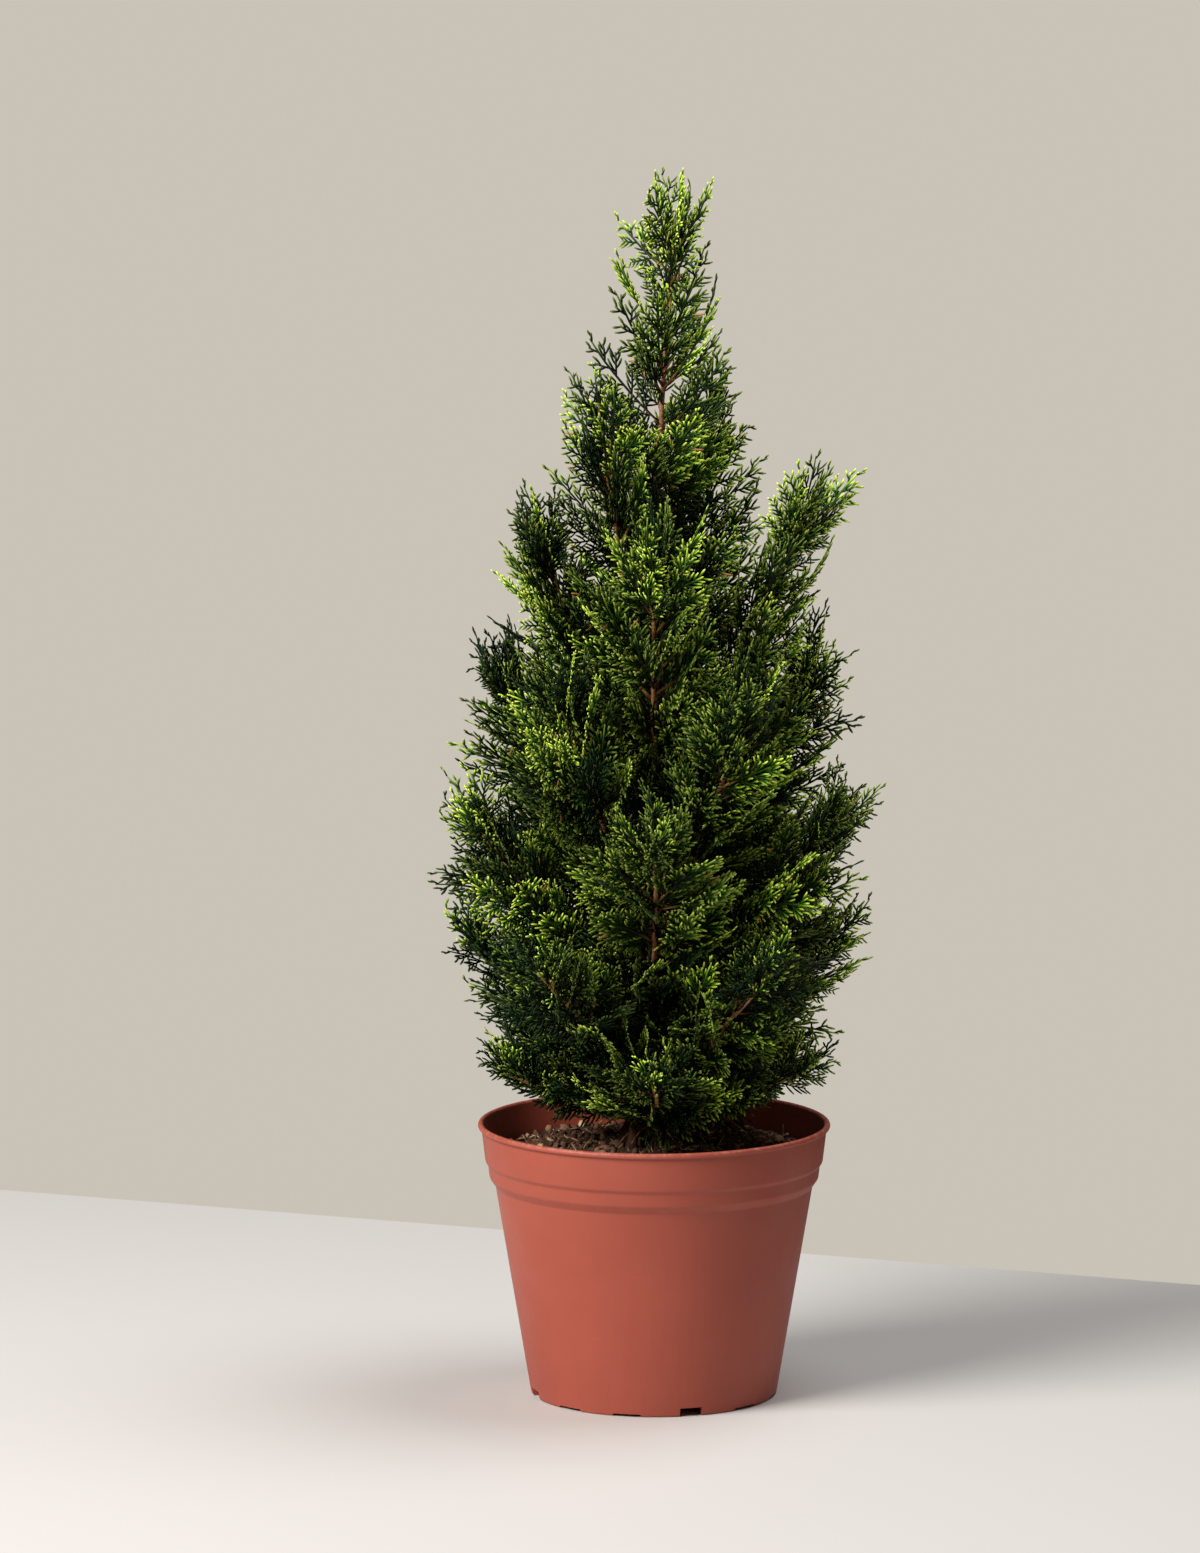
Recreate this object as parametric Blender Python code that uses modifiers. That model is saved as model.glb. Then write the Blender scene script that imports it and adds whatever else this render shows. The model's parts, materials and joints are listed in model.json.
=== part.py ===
"""Artificial tabletop tree: a conifer of wired branches on a cored trunk, standing in a nursery pot.

Run with: blender --background --python part.py
Metres, +Z up. The origin is the middle of the pot's underside, on the table. -Y is the front.
"""

import math

import bmesh
import bpy

# ---------------------------------------------------------------- driving sizes
MM = 0.001

CLEARANCE = 0.3 * MM  # between pieces that touch
PLUG_CLEARANCE = 1.2 * MM  # between the planting and the pot it drops into

POT_HEIGHT = 156 * MM
POT_RIM_RADIUS = 100 * MM  # outside of the rolled lip
POT_FOOT_RADIUS = 70 * MM
POT_WALL = 1.8 * MM
POT_LIP_RADIUS = 1.7 * MM
POT_BAND_HEIGHT = 36 * MM  # the wide band under the lip
POT_BAND_STEP = 4.6 * MM  # how far the band stands out over the body
POT_BAND_TAPER = 4.2 * MM  # how much narrower the band is at its lower edge
POT_CREASE_DROP = 22 * MM  # the small step in the band, below the lip
POT_CREASE_STEP = 1.3 * MM
POT_CHAMFER = 5.4 * MM  # height of the slope under the band
POT_TURN_STEPS = 48

FLOOR_RISE = 5.2 * MM  # the floor's underside over the table, outside its middle pad
FLOOR_PAD_RADIUS = 24 * MM
FLOOR_PAD_SLOPE = 5 * MM
FOOT_RING_WIDTH = 3.6 * MM
FLOOR_HOLE_RADIUS = 5 * MM
FLOOR_HOLE_COUNT = 5
FLOOR_HOLE_CIRCLE = 46 * MM

NOTCH_COUNT = 12
NOTCH_FIRST_ANGLE = math.radians(-73)
DEEP_NOTCH_EVERY = 3
DEEP_NOTCH_WIDTH = 13 * MM
DEEP_NOTCH_HEIGHT = 5 * MM
SLIT_WIDTH = 16 * MM
SLIT_HEIGHT = 1.6 * MM

BALLAST_HEIGHT = 54 * MM
SOIL_EDGE_DROP = 18 * MM  # the soil's edge below the pot's lip
SOIL_CROWN = 6 * MM  # how much higher the soil is by the trunk
SOIL_DEPTH = 12 * MM  # at its edge
SOIL_TURN_STEPS = 36

CORE_RADIUS = 2.5 * MM
CORE_FOOT_DEPTH = 42 * MM  # how deep the steel core stands in the ballast
TRUNK_FOOT_DEPTH = 26 * MM  # how deep the trunk sleeve stands in the foam
TRUNK_BASE_RADIUS = 9.5 * MM
TRUNK_TOP_RADIUS = 4.4 * MM
TRUNK_HEIGHT = 365 * MM  # from the soil's edge to the sleeve's top
TRUNK_TURN_STEPS = 24

SOCKET_REACH = 6.5 * MM  # from the trunk's bark to a branch's bending point
SOCKET_RADIUS = 3.6 * MM
SOCKET_DEPTH = 5 * MM
SOCKET_SIDES = 12

NECK_RADIUS = 1.1 * MM  # bare wire at the bending point
NECK_INSERT = 1 * MM  # how far the wire's end stands in its socket's mouth
NECK_PLAY = 1 * MM  # around the wire in its socket, so that it can bend
NECK_LENGTH = 4 * MM
STEM_RADIUS = 2.0 * MM
STEM_TIP_RADIUS = 1.2 * MM
STEM_SHARE = 0.72  # of a branch's length
FOLIAGE_START = 11 * MM  # from the bending point to the lowest leaves
FOLIAGE_WEDGE = 0.22  # how much wider the leaf mass is on its outer side
FOLIAGE_FLAME = 0.9  # under 1, the widest place is over the middle

LEADER_LEAN = math.radians(4)
LEADER_LENGTH = 196 * MM
LEADER_HALF_WIDTH = 20 * MM
LEADER_HALF_DEPTH = 16 * MM

# ---------------------------------------------------------------- places worked out from the sizes
SOIL_EDGE = POT_HEIGHT - SOIL_EDGE_DROP
SOIL_BOTTOM = SOIL_EDGE - SOIL_DEPTH
FLOOR_TOP = FLOOR_RISE + POT_WALL
BALLAST_BOTTOM = FLOOR_TOP + CLEARANCE
BALLAST_TOP = BALLAST_BOTTOM + BALLAST_HEIGHT
FOAM_BOTTOM = BALLAST_TOP + CLEARANCE
BAND_FOOT = POT_HEIGHT - POT_BAND_HEIGHT
FOAM_TOP = min(BAND_FOOT, SOIL_BOTTOM) - CLEARANCE
TRUNK_FOOT = FOAM_TOP - TRUNK_FOOT_DEPTH
TRUNK_TOP = SOIL_EDGE + TRUNK_HEIGHT
CORE_TOP = TRUNK_TOP - 2 * CORE_RADIUS
CORE_BORE = CORE_RADIUS + CLEARANCE


def band_radius(height):
    """Outside of the band at a height, without the crease."""
    down = (POT_HEIGHT - height) / POT_BAND_HEIGHT
    return POT_RIM_RADIUS - 2 * POT_LIP_RADIUS + POT_WALL - POT_BAND_TAPER * down


def body_radius(height):
    """Outside of the pot's tapered body at a height."""
    top = band_radius(BAND_FOOT + POT_CHAMFER) - POT_BAND_STEP
    return POT_FOOT_RADIUS + (top - POT_FOOT_RADIUS) * height / BAND_FOOT


def trunk_radius(height):
    """Outside of the bark at a height."""
    along = (height - SOIL_EDGE) / TRUNK_HEIGHT
    return TRUNK_BASE_RADIUS + (TRUNK_TOP_RADIUS - TRUNK_BASE_RADIUS) * min(max(along, 0), 1)


# ---------------------------------------------------------------- the plan of the branches
class Branch:
    """One branch: its direction about the trunk, its lean from upright and its length."""

    def __init__(self, azimuth, lean, length):
        self.azimuth = math.radians(azimuth)
        self.lean = math.radians(lean)
        self.length = length


class Tier:
    """A whorl of branches at one share of the trunk's height, all with the same width and depth."""

    def __init__(self, share, half_width, half_depth, branches):
        self.height = SOIL_EDGE + share * TRUNK_HEIGHT
        self.half_width = half_width
        self.half_depth = half_depth
        self.branches = branches


def whorl(azimuths, lean, length):
    return [Branch(azimuth, lean, length) for azimuth in azimuths]


FRONT_FIVE = (-90, -18, 54, 126, 198)  # degrees about the trunk from +X; the first is at the front
BACK_FIVE = (-54, 18, 90, 162, 234)  # between those of the front five

CROWN = whorl((-90, 90), 20, 191 * MM) + [
    Branch(180, 18.5, 188 * MM),
    Branch(-18, 24, 216 * MM),  # a plume that stands out by itself
]

TIERS = [
    Tier(0.063, 29 * MM, 13 * MM, whorl(FRONT_FIVE, 70, 98 * MM)),
    Tier(0.12, 34 * MM, 17 * MM, whorl(BACK_FIVE, 52, 144 * MM)),
    Tier(0.225, 35 * MM, 18 * MM, whorl(FRONT_FIVE, 39.5, 172 * MM)),
    Tier(0.367, 33 * MM, 17.5 * MM, whorl(BACK_FIVE, 30, 186 * MM)),
    Tier(0.537, 29 * MM, 16 * MM, CROWN),
    Tier(0.74, 25 * MM, 14 * MM, whorl((40, 225), 11.5, 180 * MM)),
]


# ---------------------------------------------------------------- building blocks
def clear_scene():
    for obj in list(bpy.data.objects):
        bpy.data.objects.remove(obj)


def collection(name):
    made = bpy.data.collections.new(name)
    bpy.context.scene.collection.children.link(made)
    return made


def material(name, colour, roughness, metallic=0.0):
    made = bpy.data.materials.new(name)
    made.use_nodes = True
    shader = made.node_tree.nodes["Principled BSDF"]
    shader.inputs["Base Color"].default_value = (*colour, 1)
    shader.inputs["Roughness"].default_value = roughness
    shader.inputs["Metallic"].default_value = metallic
    return made


def add_object(name, data, finish, parent=None):
    made = bpy.data.objects.new(name, data)
    PARTS.objects.link(made)
    if finish:
        made.data.materials.append(finish)
    made.parent = parent
    return made


def add_empty(name, location, rotation=(0, 0, 0), parent=None):
    made = add_object(name, None, None, parent)
    made.location = location
    made.rotation_euler = rotation
    made.empty_display_size = 10 * MM
    return made


def turned(name, profile, steps, finish, parent=None, closed=False):
    """A body turned about Z from (radius, height) points that run down its outer side."""
    mesh = bpy.data.meshes.new(name)
    edges = [(i, i + 1) for i in range(len(profile) - 1)]
    if closed:
        edges.append((len(profile) - 1, 0))
    mesh.from_pydata([(radius, 0, height) for radius, height in profile], edges, [])
    made = add_object(name, mesh, finish, parent)
    screw = made.modifiers.new("Turn", "SCREW")
    screw.steps = screw.render_steps = steps
    screw.use_merge_vertices = True
    screw.merge_threshold = 0.01 * MM
    screw.use_smooth_shade = False
    return made


def cylinder_mesh(name, radius, low, high, sides):
    """A capped cylinder along Z from low to high."""
    shape = bmesh.new()
    bmesh.ops.create_cone(
        shape, cap_ends=True, segments=sides, radius1=radius, radius2=radius, depth=high - low
    )
    bmesh.ops.translate(shape, verts=shape.verts, vec=(0, 0, (low + high) / 2))
    mesh = bpy.data.meshes.new(name)
    shape.to_mesh(mesh)
    shape.free()
    return mesh


def box_mesh(name, size):
    shape = bmesh.new()
    bmesh.ops.create_cube(shape, size=1)
    bmesh.ops.scale(shape, verts=shape.verts, vec=size)
    mesh = bpy.data.meshes.new(name)
    shape.to_mesh(mesh)
    shape.free()
    return mesh


def add_cutter(name, mesh, location=(0, 0, 0), rotation=(0, 0, 0), parent=None):
    made = bpy.data.objects.new(name, mesh)
    CUTTERS.objects.link(made)
    made.location = location
    made.rotation_euler = rotation
    made.parent = parent
    made.hide_render = True
    made.display_type = "WIRE"
    return made


def boolean(target, tool, operation):
    step = target.modifiers.new(f"{operation.title()} {tool.name}", "BOOLEAN")
    step.operation = operation
    step.object = tool


def front_angle(angle):
    """An angle counted from the front towards +X, as one about Z from +X."""
    return angle - math.pi / 2


# ---------------------------------------------------------------- the pot
def lip_arc(points=6):
    """The rolled lip: a half circle from its inner side, over the top, to its outer side."""
    centre_radius = POT_RIM_RADIUS - POT_LIP_RADIUS
    centre_height = POT_HEIGHT - POT_LIP_RADIUS
    arc = []
    for step in range(points):
        turn = math.pi - step * 1.25 * math.pi / (points - 1)
        arc.append(
            (
                centre_radius + POT_LIP_RADIUS * math.cos(turn),
                centre_height + POT_LIP_RADIUS * math.sin(turn),
            )
        )
    return arc


def pot_wall_outside():
    """The wall's outer side from under the lip down to the foot."""
    crease = POT_HEIGHT - POT_CREASE_DROP
    chamfer_top = BAND_FOOT + POT_CHAMFER
    crease_fall = 2.4 * POT_CREASE_STEP
    return [
        (band_radius(crease), crease),
        (band_radius(crease - crease_fall) - POT_CREASE_STEP, crease - crease_fall),
        (band_radius(chamfer_top) - POT_CREASE_STEP, chamfer_top),
        (band_radius(chamfer_top) - POT_CREASE_STEP - 0.3 * POT_BAND_STEP, chamfer_top - 0.4 * POT_CHAMFER),
        (body_radius(BAND_FOOT), BAND_FOOT),
        (body_radius(BAND_FOOT / 2), BAND_FOOT / 2),
        (POT_FOOT_RADIUS, 0),
    ]


def pot_inner_radius(height):
    """Inside of the body below the band."""
    return body_radius(height) - POT_WALL


def pot_profile():
    wall = pot_wall_outside()
    inside = [(radius - POT_WALL, height) for radius, height in wall[:-1]]
    inside.append((pot_inner_radius(FLOOR_TOP + POT_WALL), FLOOR_TOP + POT_WALL))
    floor = [
        (pot_inner_radius(FLOOR_TOP) - POT_WALL, FLOOR_TOP),
        (FLOOR_PAD_RADIUS + FLOOR_PAD_SLOPE, FLOOR_TOP),
        (FLOOR_PAD_RADIUS, POT_WALL),
        (0, POT_WALL),
    ]
    foot_inside = POT_FOOT_RADIUS - FOOT_RING_WIDTH
    underside = [
        (foot_inside, 0),
        (foot_inside, FLOOR_RISE),
        (FLOOR_PAD_RADIUS + FLOOR_PAD_SLOPE, FLOOR_RISE),
        (FLOOR_PAD_RADIUS + POT_WALL, 0),
        (0, 0),
    ]
    return floor[::-1] + inside[::-1] + lip_arc() + wall + underside


def make_pot(finish):
    pot = turned("nursery_pot", pot_profile(), POT_TURN_STEPS, finish)
    deep = box_mesh("deep_notch", (4 * FOOT_RING_WIDTH, DEEP_NOTCH_WIDTH, 2 * DEEP_NOTCH_HEIGHT))
    slit = box_mesh("slit", (4 * FOOT_RING_WIDTH, SLIT_WIDTH, 2 * SLIT_HEIGHT))
    for index in range(NOTCH_COUNT):
        angle = front_angle(NOTCH_FIRST_ANGLE + index * 2 * math.pi / NOTCH_COUNT)
        at = (POT_FOOT_RADIUS * math.cos(angle), POT_FOOT_RADIUS * math.sin(angle), 0)
        shape = slit if index % DEEP_NOTCH_EVERY else deep
        boolean(pot, add_cutter(f"foot_notch_{index + 1}", shape, at, (0, 0, angle)), "DIFFERENCE")
    hole = cylinder_mesh("floor_hole", FLOOR_HOLE_RADIUS, 0, FLOOR_TOP + POT_WALL, 16)
    for index in range(FLOOR_HOLE_COUNT):
        angle = index * 2 * math.pi / FLOOR_HOLE_COUNT
        at = (FLOOR_HOLE_CIRCLE * math.cos(angle), FLOOR_HOLE_CIRCLE * math.sin(angle), POT_WALL)
        boolean(pot, add_cutter(f"floor_hole_{index + 1}", hole, at), "DIFFERENCE")


# ---------------------------------------------------------------- what stands in the pot
def make_ballast(finish, planting):
    """The cement weight, with a blind hole for the core's foot."""
    hole_floor = BALLAST_TOP - CORE_FOOT_DEPTH - CLEARANCE
    profile = [
        (0, hole_floor),
        (CORE_BORE, hole_floor),
        (CORE_BORE, BALLAST_TOP),
        (pot_inner_radius(BALLAST_TOP) - PLUG_CLEARANCE, BALLAST_TOP),
        (pot_inner_radius(FLOOR_TOP + 2 * POT_WALL) - PLUG_CLEARANCE, FLOOR_TOP + 2 * POT_WALL),
        (pot_inner_radius(FLOOR_TOP) - POT_WALL - PLUG_CLEARANCE, BALLAST_BOTTOM),
        (0, BALLAST_BOTTOM),
    ]
    turned("ballast_weight", profile, SOIL_TURN_STEPS, finish, planting)


def make_foam(finish, planting):
    """The foam block over the weight, bored for the core and counterbored for the trunk."""
    seat = TRUNK_BASE_RADIUS + CLEARANCE
    seat_floor = TRUNK_FOOT - CLEARANCE
    profile = [
        (CORE_BORE, seat_floor),
        (seat, seat_floor),
        (seat, FOAM_TOP),
        (pot_inner_radius(FOAM_TOP) - PLUG_CLEARANCE, FOAM_TOP),
        (pot_inner_radius(FOAM_BOTTOM) - PLUG_CLEARANCE, FOAM_BOTTOM),
        (CORE_BORE, FOAM_BOTTOM),
    ]
    turned("foam_block", profile, SOIL_TURN_STEPS, finish, planting, closed=True)


def soil_outer_radius(height):
    """The soil fills the band, whose narrowest inside is below its crease."""
    return band_radius(height) - POT_CREASE_STEP - POT_WALL - PLUG_CLEARANCE


def make_soil(finish, planting):
    """The soil topping: a low mound, highest by the trunk."""
    bore = TRUNK_BASE_RADIUS + CLEARANCE
    rim = soil_outer_radius(SOIL_EDGE)
    low = max(SOIL_BOTTOM, BAND_FOOT + POT_CHAMFER + CLEARANCE)
    profile = [(bore, SOIL_EDGE + SOIL_CROWN)]
    for share in (0.35, 0.7, 1.0):
        rise = SOIL_CROWN * (1 - share**2)
        profile.append((bore + (rim - bore) * share, SOIL_EDGE + rise))
    profile += [(soil_outer_radius(low), low), (bore, low)]
    turned("soil_topping", profile, SOIL_TURN_STEPS, finish, planting, closed=True)


def bend_location(tier, branch):
    """Where a branch bends: on its axis, just outside its socket's mouth."""
    reach = trunk_radius(tier.height) + SOCKET_REACH
    return (reach * math.cos(branch.azimuth), reach * math.sin(branch.azimuth), tier.height)


def branch_rotation(branch):
    """Turns +Z to the branch's direction and +X to its outer side."""
    return (0, branch.lean, branch.azimuth)


def socket_length(branch):
    """Long enough for the whole inner end to lie inside the trunk's bark."""
    return SOCKET_REACH / math.sin(branch.lean) + SOCKET_RADIUS / math.tan(branch.lean)


def make_core(finish, planting):
    mesh = cylinder_mesh("trunk_core", CORE_RADIUS, BALLAST_TOP - CORE_FOOT_DEPTH, CORE_TOP, 16)
    add_object("trunk_core", mesh, finish, planting)


def make_sleeve(finish, planting):
    """The trunk's bark: one tapered sleeve over the core, with a socket moulded on it for each branch."""
    profile = [
        (0, TRUNK_TOP),
        (TRUNK_TOP_RADIUS, TRUNK_TOP),
        (TRUNK_BASE_RADIUS, SOIL_EDGE),
        (TRUNK_BASE_RADIUS, TRUNK_FOOT),
        (0, TRUNK_FOOT),
    ]
    sleeve = turned("trunk_sleeve", profile, TRUNK_TURN_STEPS, finish, planting)
    hole_radius = NECK_RADIUS + NECK_PLAY
    hole = cylinder_mesh("socket_hole", hole_radius, -SOCKET_DEPTH, NECK_INSERT, SOCKET_SIDES)
    holes = []
    for number, tier in enumerate(TIERS, 1):
        for index, branch in enumerate(tier.branches, 1):
            name = f"tier{number}_socket_{index}"
            place = (bend_location(tier, branch), branch_rotation(branch))
            tube = cylinder_mesh(name, SOCKET_RADIUS, -socket_length(branch), -CLEARANCE, SOCKET_SIDES)
            boolean(sleeve, add_cutter(name, tube, *place), "UNION")
            holes.append(add_cutter(f"{name}_hole", hole, *place))
    bore = cylinder_mesh("core_bore", CORE_BORE, TRUNK_FOOT - TRUNK_FOOT_DEPTH, CORE_TOP + CLEARANCE, 16)
    for cutter in [add_cutter("core_bore", bore), *holes]:
        boolean(sleeve, cutter, "DIFFERENCE")


# ---------------------------------------------------------------- branches
def stem_curve(name, length):
    """A wired stem along +Z: bare wire at the bend, then a tapered moulded twig."""
    stations = [
        (-NECK_INSERT, NECK_RADIUS),
        (NECK_LENGTH, NECK_RADIUS),
        (NECK_LENGTH + STEM_RADIUS, STEM_RADIUS),
        (STEM_SHARE * length, STEM_TIP_RADIUS),
    ]
    curve = bpy.data.curves.new(name, "CURVE")
    curve.dimensions = "3D"
    curve.bevel_depth = STEM_RADIUS
    curve.bevel_resolution = 2
    curve.use_fill_caps = True
    line = curve.splines.new("POLY")
    line.points.add(len(stations) - 1)
    for point, (height, radius) in zip(line.points, stations):
        point.co = (0, 0, height, 1)
        point.radius = radius / STEM_RADIUS
    return curve


def foliage_mesh(name, length, half_width, half_depth):
    """A flame-shaped leaf mass along +Z, wider on its outer side (+X)."""
    shape = bmesh.new()
    bmesh.ops.create_uvsphere(shape, u_segments=12, v_segments=8, radius=1)
    span = length - FOLIAGE_START
    for vertex in shape.verts:
        x, y, z = vertex.co
        along = (max(1 + z, 0) / 2) ** FOLIAGE_FLAME
        vertex.co.x = half_depth * x
        vertex.co.y = half_width * y * (1 + FOLIAGE_WEDGE * x)
        vertex.co.z = FOLIAGE_START + span * along
    mesh = bpy.data.meshes.new(name)
    shape.to_mesh(mesh)
    shape.free()
    return mesh


def make_branch(name, length, half_width, half_depth, bend, finishes):
    """A stem on its bend, and the leaf mass that is pushed on to it."""
    add_object(f"{name}_stem", stem_curve(f"{name}_stem", length), finishes["twig"], bend)
    mesh = foliage_mesh(f"{name}_foliage", length, half_width, half_depth)
    foliage = add_object(f"{name}_foliage", mesh, finishes["foliage"], bend)
    bore_end = STEM_SHARE * length + CLEARANCE
    bore = cylinder_mesh(f"{name}_bore", STEM_RADIUS + CLEARANCE, 0, bore_end, 8)
    boolean(foliage, add_cutter(f"{name}_bore", bore, parent=bend), "DIFFERENCE")


def make_tier(number, tier, finishes, planting):
    for index, branch in enumerate(tier.branches, 1):
        name = f"tier{number}_branch{index}"
        bend = add_empty(f"{name}_bend", bend_location(tier, branch), branch_rotation(branch), planting)
        make_branch(name, branch.length, tier.half_width, tier.half_depth, bend, finishes)


def make_leader(finishes, planting):
    """The top shoot, which bends on the trunk's end and leans a little to +X."""
    foot = (0, 0, TRUNK_TOP + NECK_INSERT + CLEARANCE)
    bend = add_empty("leader_bend", foot, (0, LEADER_LEAN, 0), planting)
    make_branch("leader", LEADER_LENGTH, LEADER_HALF_WIDTH, LEADER_HALF_DEPTH, bend, finishes)


def main():
    finishes = {
        "pot": material("terracotta_plastic", (0.44, 0.115, 0.07), 0.5),
        "ballast": material("cement", (0.42, 0.4, 0.37), 0.9),
        "foam": material("grey_foam", (0.2, 0.21, 0.2), 0.95),
        "soil": material("soil", (0.05, 0.03, 0.02), 1.0),
        "core": material("steel_core", (0.55, 0.55, 0.56), 0.35, 1.0),
        "bark": material("bark", (0.13, 0.06, 0.035), 0.9),
        "twig": material("twig", (0.28, 0.1, 0.05), 0.8),
        "foliage": material("foliage", (0.035, 0.13, 0.018), 0.6),
    }
    make_pot(finishes["pot"])
    planting = add_empty("planting_lift", (0, 0, 0))
    make_ballast(finishes["ballast"], planting)
    make_foam(finishes["foam"], planting)
    make_soil(finishes["soil"], planting)
    make_core(finishes["core"], planting)
    make_sleeve(finishes["bark"], planting)
    for number, tier in enumerate(TIERS, 1):
        make_tier(number, tier, finishes, planting)
    make_leader(finishes, planting)


clear_scene()
PARTS = collection("artificial_tabletop_tree")
CUTTERS = collection("cutters")
main()
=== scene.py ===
"""Looks of the artificial tabletop tree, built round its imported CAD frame.

The pot, the soil, the bark and the leaf sprays are modelled here in metres, in the frame's own axes:
+Z up the trunk, -Y the front, the origin under the middle of the pot.
"""

import itertools
import json
import math

import bpy
import numpy as np
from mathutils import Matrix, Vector, noise


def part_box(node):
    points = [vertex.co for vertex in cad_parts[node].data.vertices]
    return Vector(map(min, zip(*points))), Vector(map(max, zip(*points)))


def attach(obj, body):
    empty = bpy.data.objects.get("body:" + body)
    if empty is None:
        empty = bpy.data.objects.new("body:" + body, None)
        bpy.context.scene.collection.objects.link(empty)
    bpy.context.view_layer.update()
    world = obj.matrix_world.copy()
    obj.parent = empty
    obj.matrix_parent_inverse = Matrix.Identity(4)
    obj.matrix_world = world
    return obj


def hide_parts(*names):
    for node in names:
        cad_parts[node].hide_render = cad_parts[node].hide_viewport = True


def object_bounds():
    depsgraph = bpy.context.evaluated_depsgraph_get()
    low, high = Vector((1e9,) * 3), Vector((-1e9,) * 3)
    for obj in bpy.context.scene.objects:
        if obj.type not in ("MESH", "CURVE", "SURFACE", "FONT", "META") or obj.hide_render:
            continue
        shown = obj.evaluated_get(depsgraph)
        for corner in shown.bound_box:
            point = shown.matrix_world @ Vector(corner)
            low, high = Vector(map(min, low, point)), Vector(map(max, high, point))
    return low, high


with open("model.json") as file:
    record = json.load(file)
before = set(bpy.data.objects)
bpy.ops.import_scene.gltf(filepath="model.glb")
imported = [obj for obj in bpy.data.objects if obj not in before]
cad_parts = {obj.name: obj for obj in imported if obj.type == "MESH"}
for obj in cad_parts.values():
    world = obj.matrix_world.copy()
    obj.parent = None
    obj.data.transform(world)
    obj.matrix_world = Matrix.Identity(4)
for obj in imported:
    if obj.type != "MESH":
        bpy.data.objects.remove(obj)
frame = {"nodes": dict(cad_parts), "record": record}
cad_low, cad_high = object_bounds()

MM = 0.001
NODES = frame["nodes"]
JOINTS = {joint["name"]: joint for joint in frame["record"]["behaviour"]["joints"]}
BRANCHES = [body for body in frame["record"]["behaviour"]["bodies"] if body not in ("pot", "planting")]

# ---------------------------------------------------------------- driving values
CAMERA_DISTANCE = 4.17
CAMERA_HEIGHT = 0.936
CAMERA_PITCH = math.radians(7.95)
CAMERA_SIDE = -0.0307  # the tree stands right of the picture's middle
CAMERA_LENS = 173
TABLE_SIZE = 2.4
TABLE_CENTRE = (-0.298, -0.748, 0)
TABLE_TURN = math.radians(21.7)  # its far edge runs away to the left
WALL_COLOUR = (0.585, 0.545, 0.475, 1)
WALL_LIGHT = 0.17  # how strongly the wall lights the scene; the camera sees it at full strength
LIGHT_AIM = (0, 0, 0.35)
RANDOM_SEED = 41

POT_FOOT_RADIUS = 70 * MM
POT_WALL = 1.8 * MM
POT_LIP_RADIUS = 1.7 * MM
POT_BAND_HEIGHT = 36 * MM
POT_BAND_STEP = 4.6 * MM
POT_BAND_TAPER = 4.2 * MM
POT_CREASE_DROP = 22 * MM
POT_CREASE_STEP = 1.3 * MM
POT_CHAMFER = 5.4 * MM
POT_TURN_STEPS = 192
FLOOR_RISE = 5.2 * MM
FLOOR_PAD_RADIUS = 24 * MM
FLOOR_PAD_SLOPE = 5 * MM
FOOT_RING_WIDTH = 3.6 * MM
FLOOR_HOLE_RADIUS = 5 * MM
FLOOR_HOLE_COUNT = 5
FLOOR_HOLE_CIRCLE = 46 * MM
NOTCH_COUNT = 12
NOTCH_FIRST_ANGLE = math.radians(-73 - 90)
DEEP_NOTCH_EVERY = 3
DEEP_NOTCH_SIZE = (13 * MM, 5 * MM)
SLIT_SIZE = (16 * MM, 1.6 * MM)

SOIL_CROWN = 6 * MM
SOIL_TURN_STEPS = 220
CRUMB_COUNT = 1500
CHIP_COUNT = 130
PALE_GRAIN_COUNT = 46
FIBRE_COUNT = 150

TRUNK_BASE_RADIUS = 9.5 * MM
TRUNK_TOP_RADIUS = 4.4 * MM
SOCKET_RADIUS = 3.6 * MM
SOCKET_REACH = 6.5 * MM
NECK_RADIUS = 1.1 * MM
STEM_RADIUS = 2.0 * MM
STEM_TIP_RADIUS = 0.8 * MM
BARK_RINGS = 150
BARK_SIDES = 56
SIDE_STEM_COUNT = 5
DEAD_TWIG_COUNT = 26

LEAF_UV = "OFBake"
TONES = 16  # bands of the leaf map across V, from painted shade to painted light; the last one is for dead tips
DEAD_TONE = TONES - 1
TWIG_WIDTH = 1.08 * MM
TWIG_THICKNESS = 0.7 * MM
SIDE_AXIS_STEP = 4.6 * MM
TWIG_STEP = 1.6 * MM
SPRAY_LENGTHS = (24, 30, 37, 45, 54)  # mm
SPRAY_VARIANTS = 5
GOLDEN_ANGLE = math.pi * (3 - math.sqrt(5))
TREE_HEIGHTS = np.array((150, 180, 200, 290, 340, 390, 445, 500, 560, 610, 690)) * MM
# From the trunk to the leaf tips, at those heights.
TREE_REACHES = np.array((66, 74, 97, 121, 119, 109, 96, 75, 54, 38, 30)) * MM
TREE_RAGGED = (0.91, 1.10)  # least and most of that reach
TREE_FILL = 24 * MM  # how far a plume's outer sprays grow on to reach it
STRAY_BRANCH = "tier5_branch4"  # a plume that stands out by itself
INNER_SHOOT_COUNT = 96
INNER_SHOOT_START = 30 * MM  # above the soil's edge
HANGING_SHOOT_COUNT = 24
HANGING_SHOOT_ANGLE = math.radians(-36)  # most of them hang at the right of the front

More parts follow.
